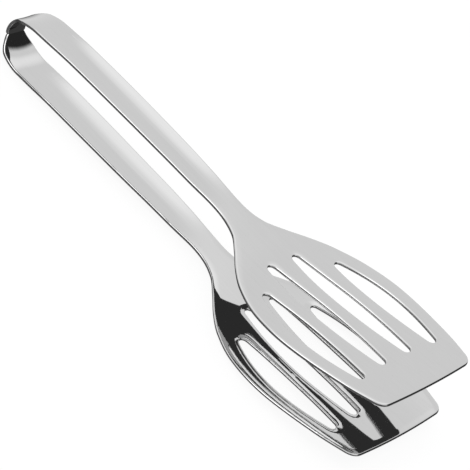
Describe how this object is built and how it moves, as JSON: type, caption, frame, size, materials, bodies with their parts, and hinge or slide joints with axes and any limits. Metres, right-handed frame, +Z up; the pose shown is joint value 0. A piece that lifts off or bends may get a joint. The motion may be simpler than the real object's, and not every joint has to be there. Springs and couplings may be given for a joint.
{
  "type": "serving tongs",
  "caption": "One-piece looking spring tongs of bent steel sheet, with a waisted bow and slotted turner blades.",
  "frame": {"origin": "middle of the footprint, on the surface that the tongs lie on", "axes": "+X from the bow to the blades' front edge, +Y across the blades, +Z up from the lower half to the upper half"},
  "size_m": [0.24, 0.075, 0.0349],
  "materials": {
    "steel": "polished stainless steel sheet with tumbled, slightly rounded edges"
  },
  "bodies": {
    "lower": {"lower_half": "steel"},
    "upper": {"upper_half": "steel"}
  },
  "joints": [
    {"name": "squeeze", "type": "hinge", "parent": "lower", "child": "upper", "pos_m": [-0.11857, 0, 0.00821], "axis": [0, 1, 0], "range_deg": [-3, 6.1], "stiffness_Nm_per_rad": 6.7, "springref_deg": -0.98}
  ]
}
